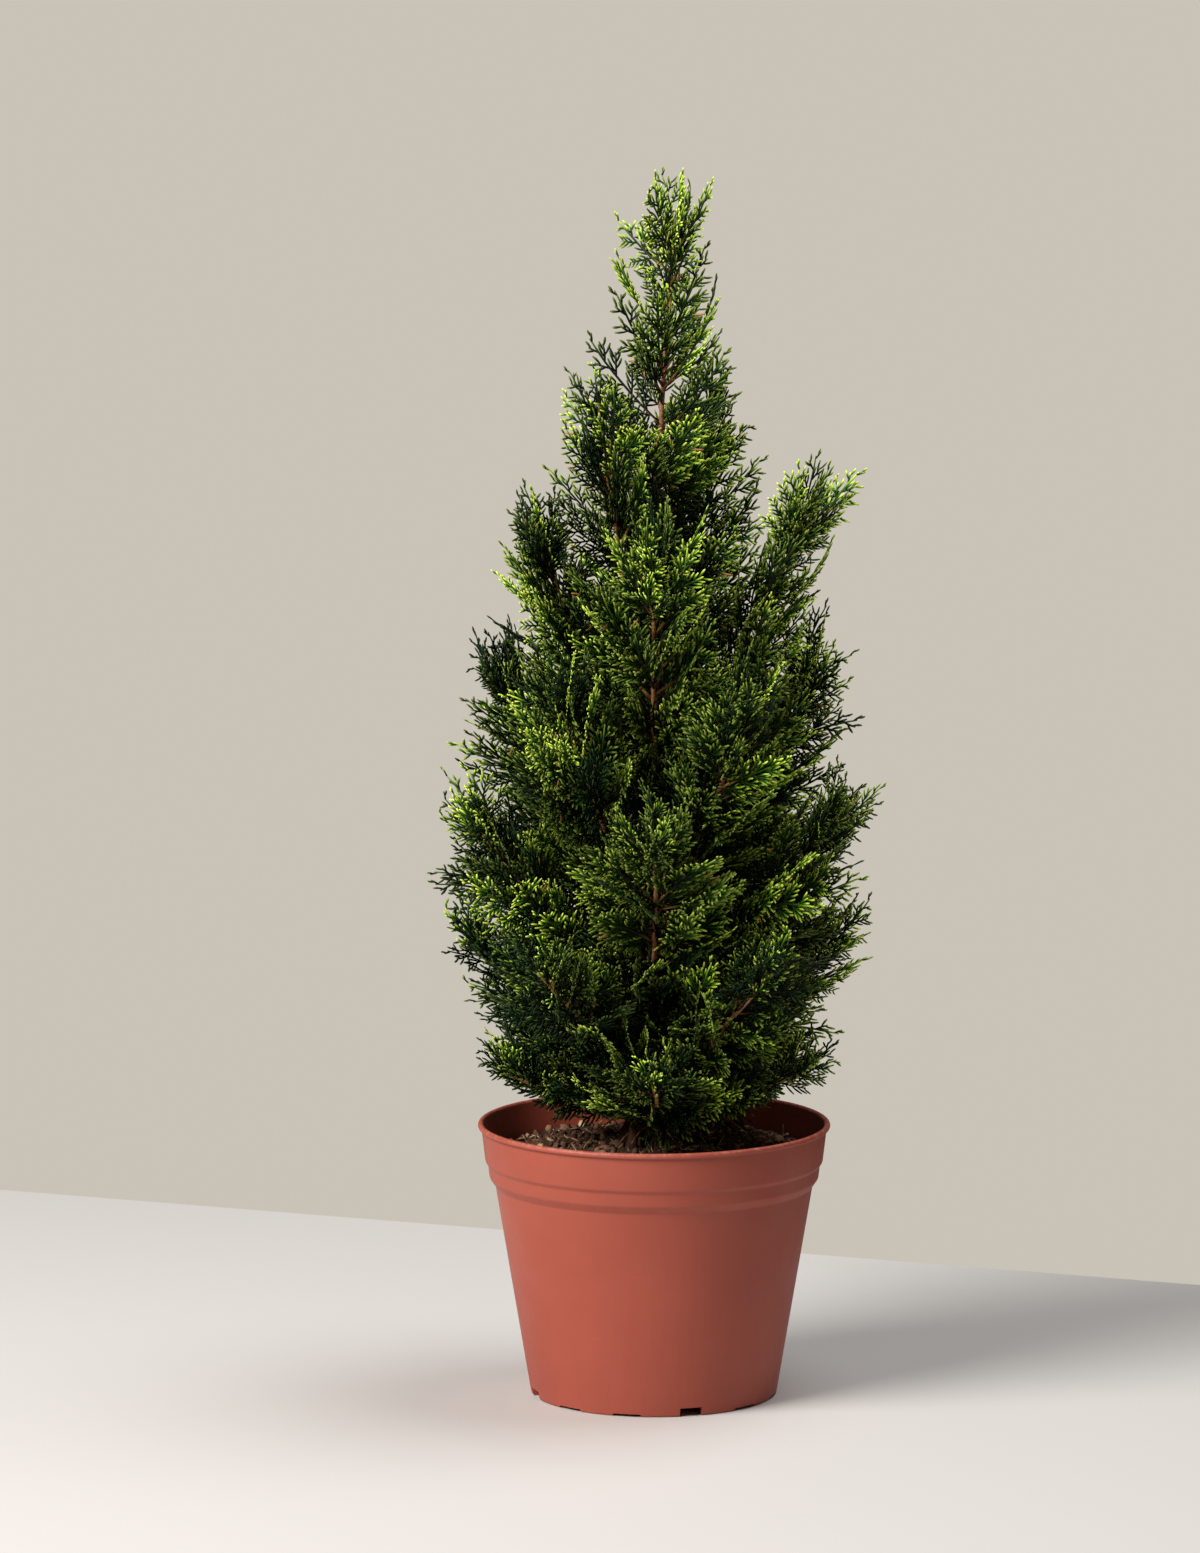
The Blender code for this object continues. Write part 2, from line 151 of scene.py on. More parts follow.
# ---------------------------------------------------------------- places read from the frame
POT_RIM_RADIUS, _, POT_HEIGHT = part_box("nursery_pot")[1]
SOIL_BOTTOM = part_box("soil_topping")[0][2]
SOIL_RIM, _, SOIL_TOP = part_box("soil_topping")[1]
SOIL_EDGE = SOIL_TOP - SOIL_CROWN  # height of the soil at the pot's wall
TRUNK_FOOT, TRUNK_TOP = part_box("trunk_sleeve")[0][2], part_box("trunk_sleeve")[1][2]


# ---------------------------------------------------------------- small helpers
def unit(vector):
    vector = np.asarray(vector, float)
    return vector / np.linalg.norm(vector, axis=-1, keepdims=True)


def node_points(node):
    mesh = NODES[node].data
    flat = np.empty(3 * len(mesh.vertices), np.float32)
    mesh.vertices.foreach_get("co", flat)
    return flat.reshape(-1, 3).astype(float)


def fractal(points, scale, octaves=4):
    """Blender's fractal noise at each point, around 0."""
    return np.array([noise.fractal(Vector(p), 1.0, 2.0, octaves) for p in np.asarray(points) * scale])


def add_mesh(name, points, quads=None, triangles=None, uvs=None, smooth=True):
    """A mesh object from arrays; uvs hold one row for each point."""
    mesh = bpy.data.meshes.new(name)
    quads = np.zeros((0, 4), int) if quads is None else np.asarray(quads, int)
    triangles = np.zeros((0, 3), int) if triangles is None else np.asarray(triangles, int)
    corners = np.concatenate([quads.reshape(-1), triangles.reshape(-1)]).astype(np.int32)
    sizes = np.concatenate([np.full(len(quads), 4), np.full(len(triangles), 3)]).astype(np.int32)
    mesh.vertices.add(len(points))
    mesh.vertices.foreach_set("co", np.asarray(points, np.float32).reshape(-1))
    mesh.loops.add(len(corners))
    mesh.loops.foreach_set("vertex_index", corners)
    mesh.polygons.add(len(sizes))
    mesh.polygons.foreach_set("loop_start", np.concatenate([[0], np.cumsum(sizes)[:-1]]).astype(np.int32))
    mesh.update(calc_edges=True)
    if smooth:
        mesh.shade_smooth()
    if uvs is not None:
        layer = mesh.uv_layers.new(name=LEAF_UV)
        layer.data.foreach_set("uv", np.asarray(uvs, np.float32)[corners].reshape(-1))
    made = bpy.data.objects.new(name, mesh)
    bpy.context.scene.collection.objects.link(made)
    return made


class Pile:
    """Closed shapes gathered into one mesh."""

    def __init__(self):
        self.points, self.quads, self.triangles, self.uvs = [], [], [], []
        self.count = 0

    def add(self, points, quads, triangles, uvs):
        self.points.append(points)
        self.quads.append(np.asarray(quads, int).reshape(-1, 4) + self.count)
        self.triangles.append(np.asarray(triangles, int).reshape(-1, 3) + self.count)
        self.uvs.append(np.broadcast_to(uvs, (len(points), 2)))
        self.count += len(points)

    def piece(self, name, smooth=True):
        parts = map(np.concatenate, (self.points, self.quads, self.triangles, self.uvs))
        return add_mesh(name, *parts, smooth=smooth)


def tube(path, radii, sides):
    """Points, quads and triangles of a closed tube; radii has one value, or one row of sides, a station."""
    path = np.asarray(path, float)
    run = unit(np.gradient(path, axis=0))
    guide = np.array((0.0, 0.0, 1.0)) if abs(run[0][2]) < 0.85 else np.array((1.0, 0.0, 0.0))
    first = unit(np.cross(run, guide))
    second = np.cross(run, first)
    angle = 2 * math.pi * np.arange(sides) / sides
    ring = first[:, None] * np.cos(angle)[:, None] + second[:, None] * np.sin(angle)[:, None]
    radii = np.asarray(radii, float)
    radii = radii[:, None] if radii.ndim == 1 else radii
    points = (path[:, None] + ring * radii[..., None]).reshape(-1, 3)
    quads, triangles = ring_faces(len(path), sides)
    return np.concatenate([points, path[[0, -1]]]), quads, triangles


def ring_faces(stations, sides):
    """Faces of a capped tube whose two end middles come after its rings."""
    index = np.arange(stations * sides).reshape(stations, sides)
    turned = np.roll(index, -1, axis=1)
    quads = np.stack([index[:-1], turned[:-1], turned[1:], index[1:]], -1).reshape(-1, 4)
    first, last = stations * sides, stations * sides + 1
    start = np.stack([np.full(sides, first), turned[0], index[0]], -1)
    end = np.stack([np.full(sides, last), index[-1], turned[-1]], -1)
    return quads, np.concatenate([start, end])


def lathe(profile, steps):
    """A body turned about Z; profile runs up its inner side and down its outer side, from axis to axis."""
    profile = np.asarray(profile, float)
    angle = 2 * math.pi * np.arange(steps) / steps
    rings = profile[1:-1]
    radius = np.repeat(rings[:, :1], steps, axis=1)
    height = np.repeat(rings[:, 1:], steps, axis=1)
    points = np.stack([radius * np.cos(angle), radius * np.sin(angle), height], -1).reshape(-1, 3)
    ends = np.array([(0, 0, profile[0][1]), (0, 0, profile[-1][1])])
    quads, triangles = ring_faces(len(rings), steps)
    return np.concatenate([points, ends]), quads, triangles


def rounded(corners, steps=5):
    """An outline through (x, y, radius) corners, each turned into an arc of about that radius."""
    made = []
    for index, (x, y, radius) in enumerate(corners):
        here = np.array((x, y))
        if radius == 0 or index in (0, len(corners) - 1):
            made.append(here)
            continue
        before = np.array(corners[index - 1][:2]) - here
        after = np.array(corners[index + 1][:2]) - here
        reach = min(radius, 0.45 * np.linalg.norm(before), 0.45 * np.linalg.norm(after))
        start, end = here + reach * unit(before), here + reach * unit(after)
        for share in np.linspace(0, 1, steps):
            made.append((1 - share) ** 2 * start + 2 * share * (1 - share) * here + share**2 * end)
    return np.array(made)


# ---------------------------------------------------------------- materials
class Shader:
    """A Principled material whose nodes are added in a row, each linked as it is made."""

    def __init__(self, name, roughness=0.6, metallic=0.0, specular=0.5):
        self.material = bpy.data.materials.new(name)
        self.material.use_nodes = True
        self.tree = self.material.node_tree
        self.surface = self.tree.nodes["Principled BSDF"]
        self.surface.inputs["Roughness"].default_value = roughness
        self.surface.inputs["Metallic"].default_value = metallic
        self.surface.inputs["Specular IOR Level"].default_value = specular

    def node(self, kind, **inputs):
        made = self.tree.nodes.new(kind)
        for name, value in inputs.items():
            self.put(made.inputs[name.replace("_", " ")], value)
        return made

    def put(self, socket, value):
        if isinstance(value, bpy.types.NodeSocket):
            self.tree.links.new(value, socket)
        else:
            socket.default_value = value

    def surface_put(self, name, value):
        self.put(self.surface.inputs[name], value)

    def place(self):
        return self.node("ShaderNodeTexCoord").outputs["Object"]

    def height(self):
        return self.node("ShaderNodeSeparateXYZ", Vector=self.place()).outputs["Z"]

    def leaf_map(self):
        """U and V of the shader map."""
        place = self.tree.nodes.new("ShaderNodeUVMap")
        place.uv_map = LEAF_UV
        split = self.node("ShaderNodeSeparateXYZ", Vector=place.outputs["UV"])
        return split.outputs["X"], split.outputs["Y"]

    def noise(self, scale, detail=3.0, roughness=0.55, vector=None):
        made = self.node("ShaderNodeTexNoise", Scale=scale, Detail=detail, Roughness=roughness)
        self.put(made.inputs["Vector"], vector or self.place())
        return made.outputs["Fac"]

    def stretched(self, scale):
        """Object coordinates scaled along each axis."""
        mapping = self.node("ShaderNodeMapping", Vector=self.place())
        mapping.inputs["Scale"].default_value = scale
        return mapping.outputs["Vector"]

    def ramp(self, value, *stops):
        """A colour ramp; a stop's colour may be one number."""
        made = self.node("ShaderNodeValToRGB", Fac=value)
        elements = made.color_ramp.elements
        while len(elements) < len(stops):
            elements.new(0.5)
        for element, (position, colour) in zip(elements, stops):
            element.position = position
            element.color = (*colour, 1) if isinstance(colour, tuple) else (colour, colour, colour, 1)
        return made.outputs["Color"]

    def math(self, operation, first, second):
        made = self.tree.nodes.new("ShaderNodeMath")
        made.operation = operation
        self.put(made.inputs[0], first)
        self.put(made.inputs[1], second)
        return made.outputs[0]

    def mix(self, factor, first, second, blend="MIX"):
        made = self.tree.nodes.new("ShaderNodeMix")
        made.data_type = "RGBA"
        made.blend_type = blend
        self.put(made.inputs["Factor"], factor)
        for name, value in (("A", first), ("B", second)):
            socket = next(s for s in made.inputs if s.name == name and s.type == "RGBA")
            self.put(socket, (*value, 1) if isinstance(value, tuple) else value)
        return next(s for s in made.outputs if s.type == "RGBA")

    def bump(self, height, distance, strength=1.0):
        made = self.node("ShaderNodeBump", Height=height, Distance=distance, Strength=strength)
        self.surface_put("Normal", made.outputs["Normal"])

    def finish(self, piece):
        if len(piece.data.materials):
            piece.data.materials[0] = self.material
        else:
            piece.data.materials.append(self.material)


def leaf_material():
    """Colour from the leaf map: U runs from woody base to young tip, V from painted deep shade to painted
    sunlight on new growth.
    """
    leaf = Shader("scale_leaves", specular=0.13)
    age, tone = leaf.leaf_map()
    # A dark copy of the leaf colours: painted shade, for old inner growth.
    shaded_old_leaves = leaf.ramp(
        age,
        (0.00, (0.075, 0.030, 0.014)),
        (0.12, (0.022, 0.012, 0.005)),
        (0.22, (0.003, 0.006, 0.002)),
        (0.60, (0.0010, 0.0055, 0.0010)),
        (0.86, (0.004, 0.015, 0.0025)),
        (1.00, (0.014, 0.042, 0.006)),
    )
    # A light copy of the same colours: painted sunlight, for young outer growth.
    lit_young_leaves = leaf.ramp(
        age,
        (0.00, (0.560, 0.240, 0.090)),
        (0.12, (0.460, 0.250, 0.060)),
        (0.22, (0.040, 0.060, 0.007)),
        (0.60, (0.013, 0.052, 0.003)),
        (0.76, (0.085, 0.230, 0.008)),
        (0.90, (0.600, 0.820, 0.060)),
        (1.00, (0.960, 0.980, 0.240)),
    )
    dead = leaf.math("GREATER_THAN", tone, DEAD_TONE / TONES)
    # How far a spray's band mixes from the painted-shade copy to the painted-light copy.
    lit = leaf.math("POWER", tone, 2.1)
    colour = leaf.mix(dead, leaf.mix(lit, shaded_old_leaves, lit_young_leaves), (0.36, 0.17, 0.055))
    leaf.surface_put("Base Color", colour)
    leaf.surface_put("Roughness", leaf.ramp(age, (0.0, 0.8), (0.3, 0.6), (1.0, 0.42)))
    return leaf


def pot_material(name, light, dark):
    """Semi-matte moulded plastic: cloudy colour, faint flow marks, and pale scuffs on its edges and foot."""
    plastic = Shader(name, specular=0.32)
    cloud = plastic.noise(11, 3)
    flow = plastic.noise(1.0, 2, vector=plastic.stretched((90, 90, 7)))
    colour = plastic.mix(plastic.ramp(cloud, (0.35, 0.0), (0.68, 1.0)), dark, light)
    colour = plastic.mix(plastic.ramp(flow, (0.52, 0.0), (0.72, 0.16)), colour, light)
    height = plastic.height()
    edge = plastic.ramp(
        plastic.math("DIVIDE", height, POT_HEIGHT),
        (0.0, 0.55), (0.012, 0.0), (0.765, 0.0), (0.785, 0.12), (0.81, 0.0), (0.985, 0.0), (0.997, 0.8),
    )
    rub = plastic.ramp(plastic.noise(260, 4, 0.7), (0.47, 0.0), (0.62, 1.0))
    colour = plastic.mix(plastic.math("MULTIPLY", edge, rub), colour, (0.43, 0.145, 0.100))
    specks = plastic.ramp(plastic.noise(1500, 2), (0.70, 0.0), (0.76, 0.35))
    colour = plastic.mix(specks, colour, (0.46, 0.21, 0.16))
    scratch = plastic.noise(1.0, 3, 0.6, plastic.stretched((45, 45, 900)))
    colour = plastic.mix(plastic.ramp(scratch, (0.66, 0.0), (0.74, 0.18)), colour, (0.43, 0.145, 0.095))
    plastic.surface_put("Base Color", colour)
    plastic.surface_put("Roughness", plastic.ramp(plastic.noise(35, 4), (0.3, 0.44), (0.7, 0.58)))
    plastic.bump(plastic.noise(900, 3), 0.12 * MM, 0.35)
    return plastic


def bark_material():
    """Stringy bark: long dark furrows between red-brown and grey-tan strips."""
    bark = Shader("stringy_bark", roughness=0.9, specular=0.25)
    strips = bark.noise(1.0, 6, 0.62, bark.stretched((520, 520, 42)))
    colour = bark.ramp(
        strips, (0.30, (0.018, 0.009, 0.006)), (0.46, (0.085, 0.036, 0.020)), (0.58, (0.190, 0.090, 0.050)),
        (0.74, (0.300, 0.205, 0.140)),
    )
    shade = bark.ramp(bark.noise(70, 3), (0.35, (0.45, 0.40, 0.38)), (0.7, (1.0, 1.0, 1.0)))
    bark.surface_put("Base Color", bark.mix(1.0, colour, shade, "MULTIPLY"))
    bark.bump(strips, 1.1 * MM, 0.9)
    return bark


def twig_material():
    """Woody stems from the shader map: grey-brown at the foot, red-brown, then orange-green at the tip."""
    twig = Shader("woody_stems", roughness=0.62, specular=0.35)
    along = twig.leaf_map()[0]
    colour = twig.ramp(
        along, (0.0, (0.110, 0.052, 0.032)), (0.22, (0.400, 0.170, 0.090)), (0.6, (0.520, 0.220, 0.100)),
        (0.85, (0.460, 0.260, 0.070)), (1.0, (0.220, 0.260, 0.035)),
    )
    rings = twig.noise(1.0, 4, 0.6, twig.stretched((300, 300, 900)))
    colour = twig.mix(twig.ramp(rings, (0.4, 0.55), (0.66, 0.0)), colour, (0.040, 0.018, 0.010))
    twig.surface_put("Base Color", colour)
    twig.bump(rings, 0.35 * MM, 0.6)
    return twig


def soil_material():
    """Peat: near-black fines with brown and a few tan grains."""
    soil = Shader("peat_soil", roughness=1.0, specular=0.15)
    grain = soil.noise(520, 5, 0.72)
    colour = soil.ramp(
        grain, (0.34, (0.020, 0.011, 0.007)), (0.5, (0.090, 0.046, 0.027)), (0.62, (0.210, 0.115, 0.062)),
        (0.72, (0.420, 0.260, 0.145)),
    )
    damp = soil.ramp(soil.noise(38, 3), (0.38, (0.55, 0.5, 0.46)), (0.66, (1.0, 1.0, 1.0)))
    soil.surface_put("Base Color", soil.mix(1.0, colour, damp, "MULTIPLY"))
    soil.bump(grain, 1.6 * MM, 1.0)
    return soil


def crumb_material():
    """Colour of each soil crumb, chip or fibre from the shader map: V is its tone."""
    crumb = Shader("soil_crumbs", roughness=0.92, specular=0.2)
    tone = crumb.leaf_map()[1]
    colour = crumb.ramp(
        tone, (0.0, (0.028, 0.015, 0.010)), (0.35, (0.110, 0.056, 0.033)), (0.6, (0.270, 0.140, 0.075)),
        (0.78, (0.500, 0.290, 0.140)), (0.9, (0.680, 0.460, 0.250)), (0.97, (0.780, 0.680, 0.540)),
    )
    crumb.surface_put("Base Color", colour)
    return crumb


def cement_material():
    cement = Shader("cast_cement", roughness=0.92, specular=0.3)
    sand = cement.noise(420, 5, 0.7)
    cloud = cement.noise(24, 4)
    colour = cement.ramp(sand, (0.3, (0.24, 0.225, 0.20)), (0.7, (0.46, 0.44, 0.40)))
    stain = cement.ramp(cloud, (0.35, (0.62, 0.58, 0.54)), (0.65, (1.0, 1.0, 1.0)))
    cement.surface_put("Base Color", cement.mix(1.0, colour, stain, "MULTIPLY"))
    pits = cement.node("ShaderNodeTexVoronoi", Vector=cement.place(), Scale=170.0).outputs["Distance"]
    cement.bump(cement.math("MULTIPLY", pits, sand), 0.8 * MM, 0.8)
    return cement


def foam_material():
    """Dry cut foam: small open cells."""
    foam = Shader("cut_foam", roughness=0.96, specular=0.15)
    cells = foam.node("ShaderNodeTexVoronoi", Vector=foam.place(), Scale=640.0).outputs["Distance"]
    colour = foam.ramp(
        cells, (0.0, (0.06, 0.075, 0.062)), (0.4, (0.19, 0.215, 0.185)), (0.8, (0.27, 0.29, 0.255)),
    )
    worn = foam.ramp(foam.noise(30, 3), (0.35, (0.72, 0.70, 0.66)), (0.7, (1.0, 1.0, 1.0)))
    foam.surface_put("Base Color", foam.mix(1.0, colour, worn, "MULTIPLY"))
    foam.bump(cells, 0.8 * MM, 0.9)
    return foam


def steel_material():
    steel = Shader("drawn_steel", metallic=1.0)
    lines = steel.noise(1.0, 4, 0.6, steel.stretched((1500, 1500, 30)))
    steel.surface_put("Base Color", steel.ramp(lines, (0.35, (0.36, 0.36, 0.37)), (0.65, (0.58, 0.58, 0.59))))
    steel.surface_put("Roughness", steel.ramp(lines, (0.35, 0.48), (0.65, 0.32)))
    return steel


# ---------------------------------------------------------------- leaf sprays
def stroke_points(start, heading, length, turns):
    """A polyline from start; each step turns the heading by the next value in turns."""
    points = [np.array(start, float)]
    step = length / len(turns)
    for turn in turns:
        heading += turn
        points.append(points[-1] + step * np.array([math.cos(heading), math.sin(heading)]))
    return np.array(points)


class Strokes:
    """Flat strokes of a spray, gathered by how many points they have."""

    def __init__(self):
        self.groups = {}

    def add(self, points, widths, ages, lift, tone):
        self.groups.setdefault(len(points), []).append((points, widths, ages, lift, tone))

    def solid(self):
        """Points, quads, triangles, ages, tone steps and band shares of the strokes, as three-sided twigs."""
        gathered = []
        base = 0
        for count, group in self.groups.items():
            centre, width, age, lift, tone = map(np.array, zip(*group))
            run = unit(np.gradient(centre, axis=1))
            side = np.stack([-run[..., 1], run[..., 0]], axis=2) * width[..., None] / 2
            thick = TWIG_THICKNESS * width / TWIG_WIDTH
            rings = np.zeros((len(group), count, 3, 3))
            rings[:, :, 0, :2] = centre + side
            rings[:, :, 1, :2] = centre
            rings[:, :, 2, :2] = centre - side
            rings[..., 2] = lift[..., None]
            rings[:, :, 1, 2] += 0.6 * thick
            rings[:, :, (0, 2), 2] -= 0.4 * thick[..., None]
            index = base + np.arange(len(group) * count * 3).reshape(len(group), count, 3)
            turned = np.roll(index, -1, axis=2)
            quads = np.stack([turned[:, :-1], index[:, :-1], index[:, 1:], turned[:, 1:]], -1).reshape(-1, 4)
            ends = np.concatenate([index[:, 0], index[:, -1, ::-1]])
            ages, tones = np.repeat(age.reshape(-1), 3), np.repeat(tone, count * 3)
            shares = np.tile((0.1, 0.5, 0.9), len(group) * count)
            gathered.append((rings.reshape(-1, 3), quads, ends, ages, tones, shares))
            base += len(group) * count * 3
        return tuple(map(np.concatenate, zip(*gathered)))


def make_spray(length, rng):
    """One flat spray: an axis with alternate side axes, which carry alternate leafy fingers."""
    strokes = Strokes()
    bend = rng.normal(0, 0.045)
    steps = 8
    turns = np.full(steps, bend) + rng.normal(0, 0.03, steps)
    axis = stroke_points((0, 0), -3.5 * bend, length, turns)
    at = np.linspace(0, 1, steps + 1)
    widths = np.interp(at, (0, 0.5, 0.9, 1), (1.5, 1.25, 1.0, 0.7)) * MM
    strokes.add(axis, widths, np.interp(at, (0, 0.15, 0.4, 1), (0.0, 0.1, 0.3, 0.95)), np.zeros(steps + 1), 0)
    count = int(0.88 * length / SIDE_AXIS_STEP)
    fullness = rng.uniform(0.34, 0.46)
    sides_lift = rng.uniform(-0.5, 0.9, 2) * MM
    for index in range(count):
        share = 0.10 + 0.86 * (index + rng.uniform(-0.22, 0.22)) / max(count - 1, 1)
        share = min(max(share, 0.05), 0.97)
        start = np.array([np.interp(share, at, axis[:, 0]), np.interp(share, at, axis[:, 1])])
        part = min(int(share * steps), steps - 1)
        heading = math.atan2(*(axis[part + 1] - axis[part])[::-1])
        side = 1 if index % 2 else -1
        shape = (1 - share) ** 0.7 * min(1.0, 0.5 + share * 2.0)
        reach = max(fullness * length * shape * rng.uniform(0.78, 1.15), 4.5 * MM)
        spread = side * (math.radians(47) - math.radians(10) * share + rng.normal(0, 0.06))
        curl = -side * rng.uniform(0.02, 0.12)
        tone = int(rng.choice((-1, 0, 0, 1)))
        rise = sides_lift[(side + 1) // 2] * reach / (12 * MM) + rng.normal(0, 0.2) * MM
        add_side_axis(strokes, start, heading + spread, reach, curl, rise, share, tone, rng)
    return strokes.solid()


def add_side_axis(strokes, start, heading, reach, curl, rise, share, tone, rng):
    """A side axis that leaves the spray's plane by rise at its end, with a comb of fingers."""
    steps = 3
    points = stroke_points(start, heading, reach, np.full(steps, curl))
    at = np.linspace(0, 1, steps + 1)
    base_age = 0.24 + 0.25 * share
    widths = np.interp(at, (0, 0.7, 1), (0.9, 1.0, 0.85)) * TWIG_WIDTH
    ages = np.interp(at, (0, 0.7, 1), (base_age, 0.60 + 0.2 * share, 1.0))
    strokes.add(points, widths, ages, rise * at, tone)
    count = int((reach - 1.6 * MM) / TWIG_STEP)
    for index in range(count):
        along = (index + 0.9 + rng.uniform(-0.2, 0.2)) / (count + 0.6)
        where = np.array([np.interp(along, at, points[:, 0]), np.interp(along, at, points[:, 1])])
        side = 1 if index % 2 else -1
        length = min((8.6 - 3.4 * along) * MM * rng.uniform(0.72, 1.15), 0.8 * reach)
        turn = side * math.radians(37 + rng.normal(0, 4))
        aim = heading + curl * steps * along + turn
        twig = stroke_points(where, aim, length, (0.0, -0.16 * side, -0.12 * side))
        age = base_age + 0.22 * along
        widths = np.array((0.75, 0.95, 1.12, 0.62)) * TWIG_WIDTH * rng.uniform(0.88, 1.08)
        dead = rng.random() < 0.004
        out = rng.normal(0, 0.35) * MM
        lift = rise * along + np.array((0, 0.4, 0.75, 1)) * out
        strokes.add(twig, widths, (age, age + 0.14, 0.84, 1.0), lift, TONES if dead else tone)


def spray_library(rng):
    return {size: [make_spray(size * MM, rng) for _ in range(SPRAY_VARIANTS)] for size in SPRAY_LENGTHS}


def place_spray(pile, library, rng, base, tip, face, arch, tone):
    """Adds the spray of the nearest length from base to tip, its broad side to face, bent by arch radians."""
    reach = np.linalg.norm(tip - base)
    size = min(SPRAY_LENGTHS, key=lambda length: abs(length * MM - reach))
    points, quads, triangles, ages, tones, shares = library[size][int(rng.integers(SPRAY_VARIANTS))]
    x, y, z = points.T * min(max(reach / (size * MM), 0.8), 1.2)
    length = x.max()
    cup, twist = rng.normal(0.1, 0.45), rng.normal(0, 0.4)
    lifted_z = z + arch * (x**2 / (2 * length) - x / 2) + cup * y**2 / length
    turn = twist * x / length
    y, lifted_z = y * np.cos(turn) - lifted_z * np.sin(turn), y * np.sin(turn) + lifted_z * np.cos(turn)
    forward = unit(tip - base)
    upward = unit(face - np.dot(face, forward) * forward)
    across = np.cross(upward, forward)
    placed = np.outer(x, forward) + np.outer(y, across) + np.outer(lifted_z, upward) + base
    band = np.clip(np.round(tone) + tones, 0, DEAD_TONE - 1)
    band[tones >= TONES] = DEAD_TONE
    uvs = np.stack([np.clip(ages, 0.01, 0.99), (band + shares) / TONES], 1)
    pile.add(placed, quads, triangles, uvs)


class Plume:
    """Where a branch's leaf mass is, read from the frame: bend, directions and half sizes."""

    def __init__(self, branch):
        joint = JOINTS[f"{branch}_bend"]
        points = node_points(f"{branch}_foliage")
        self.bend = np.array(joint["pos_m"], float)
        self.across = unit(joint["axis"])
        along = points.mean(0) - self.bend
        self.along = unit(along - np.dot(along, self.across) * self.across)
        self.outward = np.cross(self.across, self.along)
        local = (points - self.bend) @ np.stack([self.outward, self.across, self.along], 1)
        self.half_depth = np.abs(local[:, 0]).max()
        self.half_width = np.abs(local[:, 1]).max()
        self.low, self.high = local[:, 2].min(), local[:, 2].max()

    def world(self, x, y, z):
        return self.bend + x * self.outward + y * self.across + z * self.along


def painted_light_tone(place, depth):
    """How light a spray at a place is painted, as a band of the leaf map: painted shade on the inner sprays,
    partly for older growth, and painted light towards the top, the right and the front.
    """
    height = (place[2] - cad_low[2]) / (cad_high[2] - cad_low[2])
    return 1.5 + 14 * depth + 5 * (height - 0.5) + 20 * place[0] - 13 * place[1]


class Foliage:
    """How a tier's plumes are filled; proud and rise are in mm, open_angle is in degrees."""

    def __init__(self, count, proud, rise, under=1.0, stem_end=0.74, least_swell=0.3, open_angle=(24, 42)):
        self.count = count
        self.proud = proud * MM  # how far the sprays pass the CAD mass
        self.rise = rise * MM
        self.under = under  # how much of the plume's underside is filled
        self.stem_end = stem_end  # highest foot of a spray, as a share of the plume's height
        self.least_swell = least_swell  # keeps the plume's ends from closing
        self.open_angle = open_angle  # between a spray and its stem


FOLIAGES = {
    "tier1": Foliage(50, 7, 9, under=0.1, open_angle=(28, 52)),
    "tier2": Foliage(76, 7, 2, under=0.7, open_angle=(28, 50)),
    "tier3": Foliage(86, 7, 2),
    "tier4": Foliage(86, 7, 4),
    "tier5": Foliage(80, 7, 4),
    "tier6": Foliage(52, 5, 6, stem_end=0.86, open_angle=(18, 34)),
    "leader": Foliage(50, 6, 0, stem_end=0.92, least_swell=0.8, open_angle=(19, 36)),
}


def to_outline(tip, outer, stray, rng):
    """A spray's tip moved near the whole tree's ragged outline, outwards only on an outer spray."""
    reach = math.hypot(tip[0], tip[1])
    wanted = np.interp(tip[2], TREE_HEIGHTS, TREE_REACHES) * rng.uniform(*TREE_RAGGED)
    further = min(wanted - reach, TREE_FILL)
    if further > 0 and not outer or further < 0 and stray:
        return tip
    return tip + np.array((tip[0], tip[1], 0)) * further / reach


